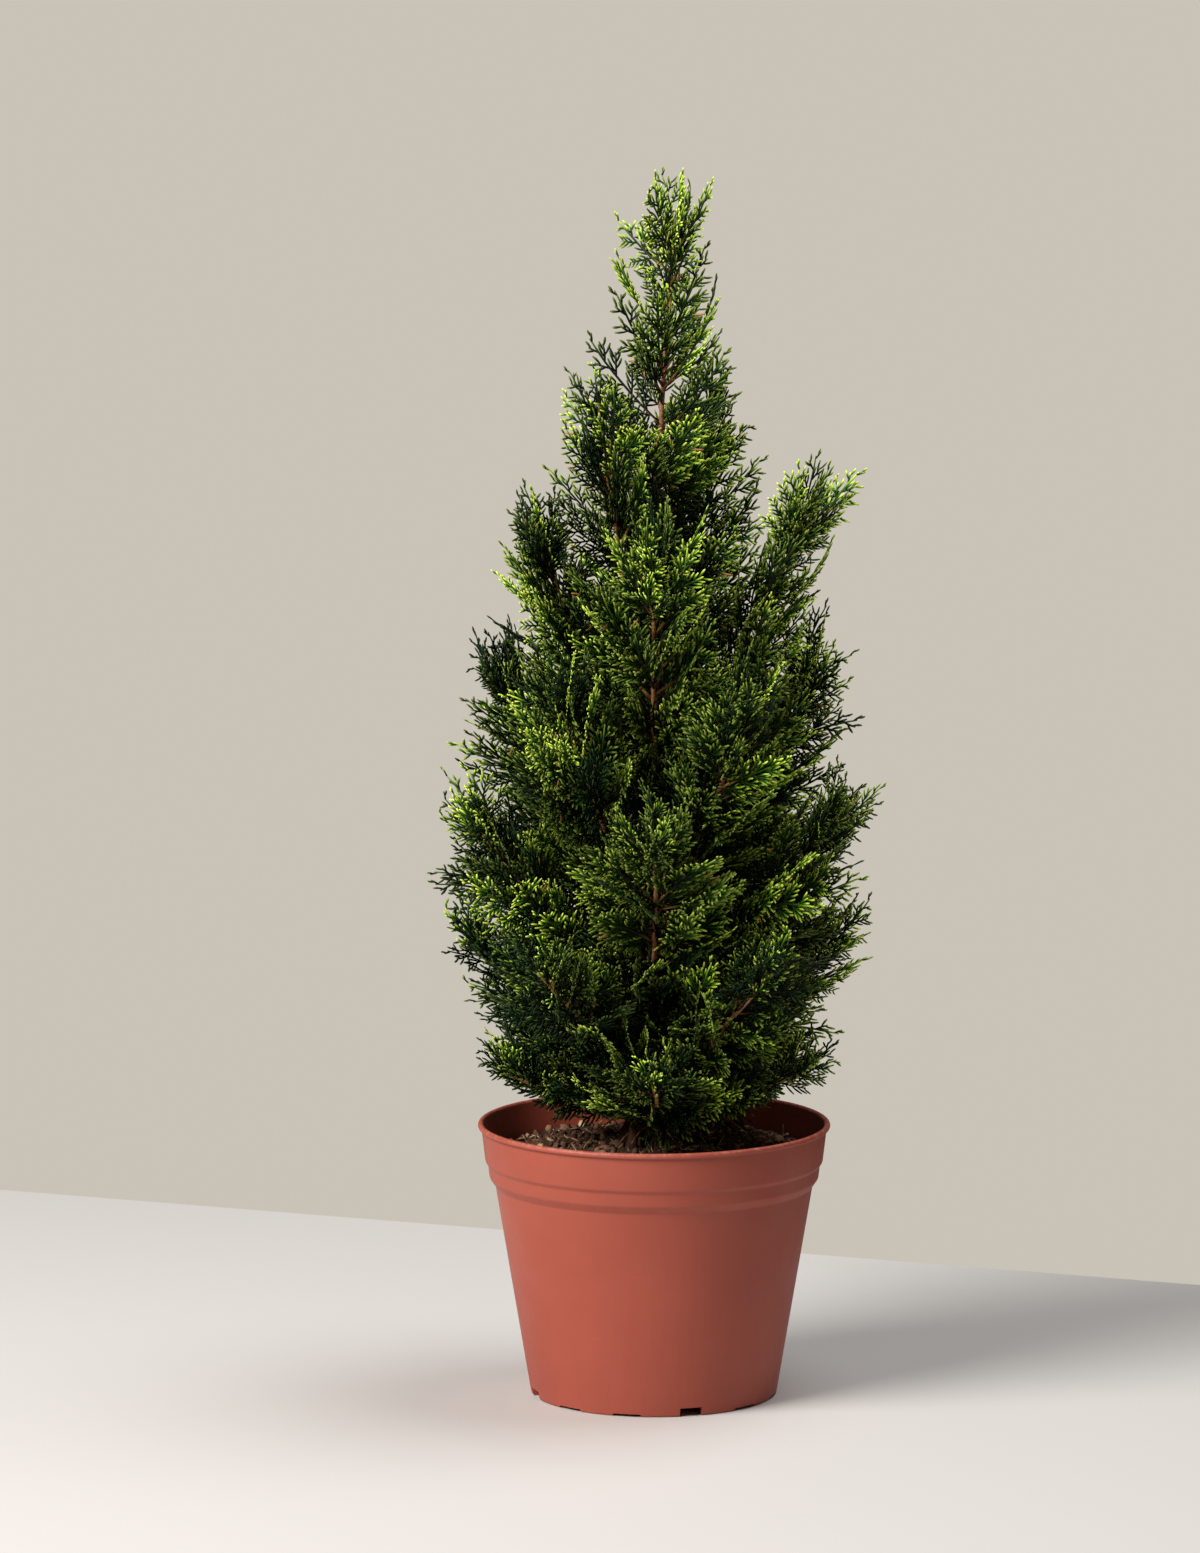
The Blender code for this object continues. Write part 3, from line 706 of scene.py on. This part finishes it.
def sprays_for(plume, plan, library, rng, stray=False):
    """Fills a plume with sprays that start on its stem and end on its outer shape, the inner ones painted
    dark as shade.
    """
    pile = Pile()
    for index in range(plan.count):
        share = (index + 0.5) / plan.count
        up = 0.06 + 0.94 * share**0.92
        angle = index * GOLDEN_ANGLE + rng.uniform(-0.35, 0.35)
        swell = max(math.sqrt(1 - (2 * up - 1) ** 2), plan.least_swell)
        fill = rng.choice((0.5, 0.75, 0.9, 1.0, 1.0, 1.08))
        x = (plume.half_depth * swell + plan.proud) * fill * math.cos(angle)
        x = x * plan.under if x > 0 else x
        y = (plume.half_width * swell + plan.proud) * fill * math.sin(angle)
        z = plume.low + (plume.high - plume.low + 0.3 * plan.proud) * up
        radius = math.hypot(x, y)
        open_angle = math.radians(rng.uniform(*plan.open_angle))
        wanted = np.clip(radius / math.sin(open_angle), 26 * MM, 60 * MM)
        foot = z - math.sqrt(max(wanted**2 - radius**2, (8 * MM) ** 2))
        foot = min(max(foot, 9 * MM), plan.stem_end * plume.high)
        start = plume.world(0, 0, foot)
        tip = plume.world(x, y, z) + (0, 0, plan.rise)
        outside = plume.outward * math.cos(angle) + plume.across * math.sin(angle)
        outer = fill >= 0.9 and np.dot(outside[:2], tip[:2]) > 0
        tip = to_outline(tip, outer, stray, rng) + rng.normal(0, 3 * MM, 3)
        sideways = plume.across * math.cos(angle) - plume.outward * math.sin(angle)
        face = rng.choice((-1, 1)) * rng.uniform(0.25, 0.8) * sideways + 0.6 * outside
        face = unit(face + rng.normal(0, 0.22, 3) + np.array((0, 0, 0.2)))
        # Each spray's band: painted shade and painted light by its place, plus a random tone.
        tone = painted_light_tone(tip, fill - 0.95) + rng.normal(0, 1.4) + rng.exponential(5.0)
        place_spray(pile, library, rng, start, tip, face, rng.normal(-0.28, 0.22), tone)
    return pile


def make_foliage(branch, library, leaf, rng):
    plan = FOLIAGES[branch.split("_")[0]]
    piece = sprays_for(Plume(branch), plan, library, rng, branch == STRAY_BRANCH).piece(f"{branch}_sprays")
    leaf.finish(piece)
    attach(piece, branch)
    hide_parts(f"{branch}_foliage")


def make_trunk_sprays(library, leaf, rng):
    """Short shoots on the trunk itself, which fill the plant's dark middle and hang down to the soil."""
    inner, low = Pile(), Pile()
    lowest = SOIL_EDGE + INNER_SHOOT_START
    for index in range(INNER_SHOOT_COUNT):
        height = lowest + (TRUNK_TOP - lowest) * ((index + 0.5) / INNER_SHOOT_COUNT) ** 0.8
        angle = index * GOLDEN_ANGLE + rng.uniform(-0.3, 0.3)
        outward = np.array((math.cos(angle), math.sin(angle), 0))
        base = outward * 0.7 * trunk_radius(height) + (0, 0, height)
        lean = math.radians(rng.uniform(30, 48))
        length = rng.uniform(38, 56) * MM
        tip = base + length * (outward * math.sin(lean) + np.array((0, 0, math.cos(lean))))
        face = unit(outward + rng.normal(0, 0.6, 3))
        arch = rng.normal(-0.3, 0.2)
        # The shoots are painted darker lower down, as shade in the plant's middle, and lighter higher up,
        # with a random tone.
        tone = rng.uniform(0, 2) + 12 * (height - 0.42)
        place_spray(inner, library, rng, base, tip, face, arch, tone)
    for _ in range(HANGING_SHOOT_COUNT):
        angle = HANGING_SHOOT_ANGLE + rng.normal(0, 0.75)
        outward = np.array((math.cos(angle), math.sin(angle), 0))
        base = outward * 8 * MM + (0, 0, SOIL_EDGE + rng.uniform(16, 44) * MM)
        reach = rng.uniform(26, 58) * MM
        tip = outward * reach + (0, 0, SOIL_EDGE + rng.uniform(5, 26) * MM)
        face = unit(np.array((0, 0, 1)) + 0.7 * outward + rng.normal(0, 0.4, 3))
        place_spray(low, library, rng, base, tip, face, rng.normal(-0.9, 0.2), rng.uniform(0, 5))
    for name, pile in (("inner_shoots", inner), ("hanging_shoots", low)):
        piece = pile.piece(name)
        leaf.finish(piece)
        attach(piece, "planting")


# ---------------------------------------------------------------- stems and trunk
def make_stem(branch, twig, rng):
    """A branch's stem: bare bent wire at its foot, then a knotted red-brown twig that thins to its tip."""
    plume = Plume(branch)
    end = 0.84 * plume.high
    stations = np.concatenate([(-1 * MM, 3.6 * MM, 4.6 * MM, 6.5 * MM), np.linspace(12 * MM, end, 26)])
    marks = (-1 * MM, 3.6 * MM, 6.5 * MM, 30 * MM, end)
    radii = np.interp(stations, marks, (NECK_RADIUS, NECK_RADIUS, STEM_RADIUS, 1.7 * MM, STEM_TIP_RADIUS))
    radii[4:] *= 1 + 0.12 * rng.normal(size=len(stations) - 4).clip(-1.5, 1.5)
    wander = np.cumsum(rng.normal(0, 0.28 * MM, (len(stations), 2)), axis=0)
    wander -= wander[4]
    wander[:5] = 0
    wander = wander.clip(-0.9 * MM, 0.9 * MM)
    path = [plume.world(x, y, z) for (x, y), z in zip(wander, stations)]
    points, quads, triangles = tube(path, radii, 9)
    along = np.append(np.repeat(stations / end, 9), (0, 1))
    pile = Pile()
    pile.add(points, quads, triangles, np.stack([along.clip(0.01, 0.99), np.full(len(along), 0.5)], 1))
    piece = pile.piece(f"{branch}_twig")
    twig.finish(piece)
    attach(piece, branch)
    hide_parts(f"{branch}_stem")


def trunk_radius(height):
    """Outside of the bark at a height."""
    along = (height - SOIL_EDGE) / (TRUNK_TOP - SOIL_EDGE)
    return TRUNK_BASE_RADIUS + (TRUNK_TOP_RADIUS - TRUNK_BASE_RADIUS) * min(max(along, 0), 1)


def socket_tube(plume):
    """The outside and the mouth of one moulded socket, from inside the trunk to just short of the bend."""
    inside, lip, mouth = 0.62 * SOCKET_RADIUS, -0.3 * MM, -4.6 * MM
    root = -SOCKET_REACH / math.sqrt(1 - plume.along[2] ** 2) - 1 * MM
    stations = [(root, 1.0), (0.5 * (root + lip), 1.0), (lip - 0.7 * MM, 1.0), (lip, 0.88)]
    path = [plume.world(0, 0, z) for z, _ in stations] + [plume.world(0, 0, lip), plume.world(0, 0, mouth)]
    radii = [SOCKET_RADIUS * share for _, share in stations] + [inside, inside]
    return path, radii


def make_trunk(bark, twig, rng):
    """The trunk's furrowed bark and moulded sockets, with slim stems beside it and dead twigs at its foot."""
    hidden = np.linspace(TRUNK_FOOT, SOIL_EDGE, 6)[:-1]
    heights = np.concatenate([hidden, np.linspace(SOIL_EDGE, TRUNK_TOP, BARK_RINGS)])
    angle = 2 * math.pi * np.arange(BARK_SIDES) / BARK_SIDES
    grid = np.array([[(math.cos(a) * 2.1, math.sin(a) * 2.1, z * 22) for a in angle] for z in heights])
    furrows = fractal(grid.reshape(-1, 3), 1.6, 5).reshape(len(heights), BARK_SIDES)
    radius = np.array([trunk_radius(z) for z in heights])[:, None]
    shown = np.where(heights > SOIL_EDGE - 4 * MM, 1.0, 0.0)[:, None]
    radii = radius + shown * (0.1 + 0.9 * furrows.clip(-0.8, 0.8)) * 0.14 * radius
    path = np.stack([0 * heights, 0 * heights, heights], 1)
    pile = Pile()
    pile.add(*tube(path, radii, BARK_SIDES), (0.5, 0.5))
    for branch in BRANCHES:
        if branch != "leader":
            pile.add(*tube(*socket_tube(Plume(branch)), 14), (0.5, 0.5))
    for index in range(SIDE_STEM_COUNT):
        foot_angle = math.radians(-54 + 360 / SIDE_STEM_COUNT * index + rng.uniform(-8, 8))
        turn = foot_angle + rng.uniform(-0.25, 0.25)
        rise = np.linspace(0, 1, 16)
        height = SOIL_EDGE - 6 * MM + rise * 58 * MM
        reach = 16.5 * MM * (1 - rise) ** 1.4 + 6.5 * MM
        heading = foot_angle + (turn - foot_angle) * rise
        path = np.stack([reach * np.cos(heading), reach * np.sin(heading), height], 1)
        thickness = np.interp(rise, (0, 0.15, 1), (4.2 * MM, 3.2 * MM, 1.9 * MM))
        radii = thickness[:, None] * rng.uniform(0.82, 1.14, (16, 12))
        pile.add(*tube(path, radii, 12), (0.5, 0.5))
    piece = pile.piece("trunk_bark")
    bark.finish(piece)
    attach(piece, "planting")
    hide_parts("trunk_sleeve")
    make_dead_twigs(twig, rng)


def make_dead_twigs(twig, rng):
    """Dry side twigs low on the trunk, tan and bent downwards."""
    pile = Pile()
    for _ in range(DEAD_TWIG_COUNT):
        angle = rng.uniform(0, 2 * math.pi)
        outward = np.array((math.cos(angle), math.sin(angle), 0))
        height = SOIL_EDGE + rng.uniform(14, 46) * MM
        rise = np.linspace(0, 1, 7)[:, None]
        length = rng.uniform(14, 34) * MM
        drop = rng.uniform(0.2, 0.75) * length
        path = outward * (8 * MM + rise * length) + np.array((0, 0, 1)) * (height - drop * rise**2)
        path += np.cumsum(rng.normal(0, 0.5 * MM, (7, 3)), axis=0)
        radii = np.interp(rise[:, 0], (0, 1), (0.8 * MM, 0.3 * MM))
        pile.add(*tube(path, radii, 5), (rng.uniform(0.3, 0.8), 0.5))
    piece = pile.piece("dead_twigs")
    twig.finish(piece)
    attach(piece, "planting")


# ---------------------------------------------------------------- soil
def icosahedron_points():
    golden = (1 + math.sqrt(5)) / 2
    points = np.array([(0, s, t * golden) for s in (-1, 1) for t in (-1, 1)])
    return unit(np.concatenate([points, points[:, (1, 2, 0)], points[:, (2, 0, 1)]]))


def crumb_points(rng, size):
    """One rough crumb: an icosahedron with its points pushed about and flattened a little."""
    shape = icosahedron_points() * rng.uniform(0.72, 1.15, (12, 1)) * rng.uniform(0.55, 1.2, 3) * size
    turn = unit(rng.normal(size=(3, 3)))
    first = turn[0]
    second = unit(np.cross(first, turn[1]))
    return shape @ np.stack([first, second, np.cross(first, second)])


def icosahedron_faces():
    """Triangles of an icosahedron or a crumb, found as the threes of points that lie nearest together."""
    points = icosahedron_points()
    faces = []
    for a, b, c in itertools.combinations(range(12), 3):
        sides = [np.linalg.norm(points[i] - points[j]) for i, j in ((a, b), (b, c), (c, a))]
        if max(sides) < 1.2:
            outside = np.dot(np.cross(points[b] - points[a], points[c] - points[a]), points[a]) > 0
            faces.append((a, b, c) if outside else (a, c, b))
    return np.array(faces)


def soil_height(x, y):
    """Top of the loose soil at a place: a low mound with lumps and hollows."""
    reach = np.hypot(x, y) / SOIL_RIM
    lumps = np.array([noise.fractal(Vector((a * 55, b * 55, 3.0)), 1.0, 2.0, 4) for a, b in zip(x, y)])
    return SOIL_EDGE + SOIL_CROWN * (1 - reach**2) * 0.9 + 2.4 * MM * lumps


def make_soil(soil, crumb, rng):
    """The soil's body with a lumpy top, then crumbs, bark chips and root fibres lying on it."""
    bore = TRUNK_BASE_RADIUS + 0.4 * MM
    rim = SOIL_RIM - 0.2 * MM
    narrow = rim - 2.6 * MM
    angle = 2 * math.pi * np.arange(SOIL_TURN_STEPS) / SOIL_TURN_STEPS
    reaches = np.concatenate([[bore], np.linspace(13 * MM, rim, 46)])
    x, y = np.outer(reaches, np.cos(angle)), np.outer(reaches, np.sin(angle))
    top = soil_height(x.reshape(-1), y.reshape(-1)).reshape(x.shape)
    rings = [np.stack([x, y, top], -1)]
    for reach, height in ((narrow, SOIL_BOTTOM), (bore, SOIL_BOTTOM)):
        rings.append(np.stack([reach * np.cos(angle), reach * np.sin(angle), 0 * angle + height], -1)[None])
    rings = np.concatenate(rings)
    index = np.arange(rings.shape[0] * SOIL_TURN_STEPS).reshape(rings.shape[0], -1)
    index = np.concatenate([index, index[:1]])
    turned = np.roll(index, -1, axis=1)
    quads = np.stack([index[:-1], index[1:], turned[1:], turned[:-1]], -1).reshape(-1, 4)
    body = add_mesh("soil_body", rings.reshape(-1, 3), quads)
    soil.finish(body)

    pile = Pile()
    faces = icosahedron_faces()
    rim_clear = rim - 3 * MM
    for _ in range(CRUMB_COUNT):
        size = MM * min(rng.lognormal(0.0, 0.5), 3.4)
        add_lying(pile, rng, crumb_points(rng, size), faces, size, rim_clear, rng.beta(1.6, 3.2) * 0.8)
    for _ in range(CHIP_COUNT):
        size = rng.uniform(2.2, 5.0) * MM
        chip = crumb_points(rng, size)
        flat = unit(rng.normal(size=3) * (1, 1, 0.2) + (0, 0, 2.0))
        chip -= 0.78 * np.outer(chip @ flat, flat)
        add_lying(pile, rng, chip, faces, size, rim_clear - 3 * MM, rng.uniform(0.3, 0.86))
    for _ in range(PALE_GRAIN_COUNT):
        size = rng.uniform(0.35, 0.7) * MM
        add_lying(pile, rng, crumb_points(rng, size), faces, size, rim_clear, 1.0)
    crumbs = pile.piece("soil_crumbs", smooth=False)
    crumb.finish(crumbs)
    fibres = make_fibres(rng, rim_clear)
    crumb.finish(fibres)
    for piece in (body, crumbs, fibres):
        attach(piece, "planting")
    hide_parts("soil_topping")


def add_lying(pile, rng, points, faces, size, rim, tone):
    """Adds a crumb at a random place on the soil, within rim of the trunk."""
    reach = math.sqrt(rng.uniform(0.02, 1)) * rim
    angle = rng.uniform(0, 2 * math.pi)
    x, y = reach * math.cos(angle), reach * math.sin(angle)
    height = soil_height(np.array([x]), np.array([y]))[0] + 0.3 * size
    pile.add(points + (x, y, height), np.zeros((0, 4)), faces, (0.5, min(tone, 0.99)))


def make_fibres(rng, rim):
    """Straw and root fibres, tan to orange, some of them standing up out of the soil."""
    pile = Pile()
    for index in range(FIBRE_COUNT):
        reach = math.sqrt(rng.uniform(0.05, 1)) * rim * 0.92
        angle = rng.uniform(0, 2 * math.pi)
        x, y = reach * math.cos(angle), reach * math.sin(angle)
        height = soil_height(np.array([x]), np.array([y]))[0]
        standing = index % 3 == 0
        rise = rng.uniform(0.5, 1.3) if standing else rng.uniform(0.0, 0.18)
        turn = rng.uniform(0, 2 * math.pi)
        heading = np.array((math.cos(turn) * math.cos(rise), math.sin(turn) * math.cos(rise), math.sin(rise)))
        length = rng.uniform(4, 11) * MM
        steps = np.linspace(0, 1, 5)[:, None]
        path = np.array((x, y, height - 0.4 * MM)) + steps * length * heading
        path += np.cumsum(rng.normal(0, 0.32 * MM, (5, 3)) * (1, 1, 0.4), axis=0)
        away = np.hypot(path[:, 0], path[:, 1]).clip(1e-6)
        path[:, :2] *= np.minimum(1, rim / away)[:, None]
        path[:, 2] = np.maximum(path[:, 2], height)
        radius = rng.uniform(0.16, 0.34) * MM
        radii = np.array((1.0, 1.1, 1.0, 0.9, 0.5)) * radius
        pile.add(*tube(path, radii, 4), (0.5, rng.uniform(0.66, 0.94)))
    return pile.piece("root_fibres")


# ---------------------------------------------------------------- the pot
def pot_outline():
    """The pot's section, from the middle of its floor up the inside, over the lip and down the outside."""
    rim_radius, height = POT_RIM_RADIUS, POT_HEIGHT
    band_foot = height - POT_BAND_HEIGHT
    crease = height - POT_CREASE_DROP
    crease_fall = 1.6 * POT_CREASE_STEP
    chamfer_top = band_foot + 0.86 * POT_CHAMFER

    def band(at):
        return rim_radius - 2 * POT_LIP_RADIUS + POT_WALL - POT_BAND_TAPER * (height - at) / POT_BAND_HEIGHT

    body_top = band(chamfer_top) - POT_BAND_STEP
    slope = (body_top - POT_FOOT_RADIUS) / band_foot
    outside = [
        (band(height - 1.6 * POT_LIP_RADIUS), height - 1.75 * POT_LIP_RADIUS, 0),
        (band(crease), crease, 0.9 * MM),
        (band(crease - crease_fall) - POT_CREASE_STEP, crease - crease_fall, 0.9 * MM),
        (band(chamfer_top) - POT_CREASE_STEP, chamfer_top, 1.1 * MM),
        (POT_FOOT_RADIUS + slope * band_foot, band_foot, 0.8 * MM),
        (POT_FOOT_RADIUS + slope * band_foot * 0.66, band_foot * 0.66, 0),
        (POT_FOOT_RADIUS + slope * band_foot * 0.33, band_foot * 0.33, 0),
        (POT_FOOT_RADIUS, 0, 1.4 * MM),
    ]
    lip = []
    for turn in np.linspace(math.pi, -0.25 * math.pi, 13):
        along, up = math.cos(turn), math.sin(turn)
        lip.append((rim_radius + POT_LIP_RADIUS * (along - 1), height + POT_LIP_RADIUS * (up - 1), 0))
    inside = [(radius - POT_WALL, at, turn) for radius, at, turn in outside[1:-1]]
    floor_top = FLOOR_RISE + POT_WALL
    inside.append((POT_FOOT_RADIUS + slope * floor_top - POT_WALL, floor_top, 3 * MM))
    pad = [
        (FLOOR_PAD_RADIUS + FLOOR_PAD_SLOPE, floor_top, 1 * MM),
        (FLOOR_PAD_RADIUS, POT_WALL, 1 * MM),
        (0, POT_WALL, 0),
    ]
    under = [
        (POT_FOOT_RADIUS - FOOT_RING_WIDTH, 0, 0.8 * MM),
        (POT_FOOT_RADIUS - FOOT_RING_WIDTH, FLOOR_RISE, 0.6 * MM),
        (FLOOR_PAD_RADIUS + FLOOR_PAD_SLOPE, FLOOR_RISE, 1 * MM),
        (FLOOR_PAD_RADIUS + POT_WALL, 0.2 * MM, 0.6 * MM),
        (0, 0.2 * MM, 0),
    ]
    return rounded(pad[::-1] + inside[::-1] + lip + outside + under)


def cut(piece, cutter):
    """Takes the cutter out of the piece, and the cutter out of the scene."""
    modifier = piece.modifiers.new(cutter.name, "BOOLEAN")
    modifier.operation = "DIFFERENCE"
    modifier.object = cutter
    bpy.context.view_layer.update()
    finished = bpy.data.meshes.new_from_object(piece.evaluated_get(bpy.context.evaluated_depsgraph_get()))
    piece.modifiers.clear()
    piece.data = finished
    bpy.data.objects.remove(cutter)


def cutter_box(name, size, angle):
    bpy.ops.mesh.primitive_cube_add(size=1)
    made = bpy.context.object
    made.name = name
    made.scale = size
    made.location = (POT_FOOT_RADIUS * math.cos(angle), POT_FOOT_RADIUS * math.sin(angle), 0)
    made.rotation_euler = (0, 0, angle)
    return made


def make_pot(outside, inside):
    """The pot as one thin moulded shell, with its foot notches and floor holes cut through."""
    pot = add_mesh("pot_shell", *lathe(pot_outline(), POT_TURN_STEPS), smooth=False)
    for index in range(NOTCH_COUNT):
        angle = NOTCH_FIRST_ANGLE + index * 2 * math.pi / NOTCH_COUNT
        width, tall = SLIT_SIZE if index % DEEP_NOTCH_EVERY else DEEP_NOTCH_SIZE
        cut(pot, cutter_box(f"foot_notch_{index + 1}", (4 * FOOT_RING_WIDTH, width, 2 * tall), angle))
    for index in range(FLOOR_HOLE_COUNT):
        angle = index * 2 * math.pi / FLOOR_HOLE_COUNT
        place = (FLOOR_HOLE_CIRCLE * math.cos(angle), FLOOR_HOLE_CIRCLE * math.sin(angle), 0)
        bpy.ops.mesh.primitive_cylinder_add(radius=FLOOR_HOLE_RADIUS, depth=30 * MM, location=place)
        cut(pot, bpy.context.object)
    pot.data.materials.clear()
    outside.finish(pot)
    pot.data.materials.append(inside.material)
    pot.data.shade_smooth()
    pot.data.set_sharp_from_angle(angle=math.radians(32))
    top = POT_HEIGHT - 0.8 * POT_LIP_RADIUS
    # Faces of the inner wall and floor get the second, lighter material: painted light against their shade.
    for polygon in pot.data.polygons:
        centre, normal = polygon.center, polygon.normal
        inward = centre.x * normal.x + centre.y * normal.y < -0.3 * math.hypot(centre.x, centre.y)
        raised = FLOOR_RISE < centre.z < top
        floor = normal.z > 0.5 and centre.z < 20 * MM
        polygon.material_index = 1 if raised and (inward or floor) else 0
    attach(pot, "pot")
    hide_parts("nursery_pot")


# ---------------------------------------------------------------- camera, light and floor
def make_camera():
    data = bpy.data.cameras.new("camera")
    data.lens = CAMERA_LENS
    data.sensor_width = 36
    camera = bpy.data.objects.new("camera", data)
    bpy.context.scene.collection.objects.link(camera)
    camera.location = (CAMERA_SIDE, -CAMERA_DISTANCE, CAMERA_HEIGHT)
    camera.rotation_euler = (math.pi / 2 - CAMERA_PITCH, 0, 0)
    data.clip_end = 50
    bpy.context.scene.camera = camera


def add_area_light(name, location, size, power, colour):
    data = bpy.data.lights.new(name, "AREA")
    data.shape = "DISK"
    data.size = size
    data.energy = power
    data.color = colour
    light = bpy.data.objects.new(name, data)
    bpy.context.scene.collection.objects.link(light)
    light.location = location
    light.rotation_euler = (Vector(LIGHT_AIM) - Vector(location)).to_track_quat("-Z", "Y").to_euler()


def make_studio():
    bpy.context.scene.view_settings.view_transform = "Standard"
    world = bpy.data.worlds.new("studio")
    bpy.context.scene.world = world
    world.use_nodes = True
    tree = world.node_tree
    back = tree.nodes["Background"]
    back.inputs["Color"].default_value = WALL_COLOUR
    path = tree.nodes.new("ShaderNodeLightPath")
    strength = tree.nodes.new("ShaderNodeMapRange")
    strength.inputs["To Min"].default_value = WALL_LIGHT
    tree.links.new(path.outputs["Is Camera Ray"], strength.inputs["Value"])
    tree.links.new(strength.outputs["Result"], back.inputs["Strength"])
    add_area_light("key", (-1.75, -1.35, 1.9), 1.6, 130, (1.0, 0.98, 0.95))
    add_area_light("top", (0.6, 0.1, 2.4), 1.2, 36, (0.98, 0.985, 1.0))
    bpy.ops.mesh.primitive_plane_add(size=TABLE_SIZE, location=TABLE_CENTRE, rotation=(0, 0, -TABLE_TURN))
    floor = bpy.context.object
    floor.name = "floor"
    table = Shader("pale_table", roughness=0.6)
    table.surface_put("Base Color", (0.54, 0.52, 0.50, 1))
    table.finish(floor)


def main():
    rng = np.random.default_rng(RANDOM_SEED)
    make_camera()
    make_studio()
    library = spray_library(rng)
    leaf, twig = leaf_material(), twig_material()
    for branch in BRANCHES:
        make_foliage(branch, library, leaf, rng)
        make_stem(branch, twig, rng)
    make_trunk_sprays(library, leaf, rng)
    make_trunk(bark_material(), twig, rng)
    make_soil(soil_material(), crumb_material(), rng)
    outside = pot_material("pot_outside", (0.350, 0.074, 0.045), (0.312, 0.061, 0.037))
    # A lighter copy of the pot's plastic for its inner wall and floor: painted light against their shade.
    inside = pot_material("pot_inside_painted_light", (0.500, 0.105, 0.064), (0.380, 0.080, 0.050))
    make_pot(outside, inside)
    cement_material().finish(NODES["ballast_weight"])
    foam_material().finish(NODES["foam_block"])
    steel_material().finish(NODES["trunk_core"])


main()
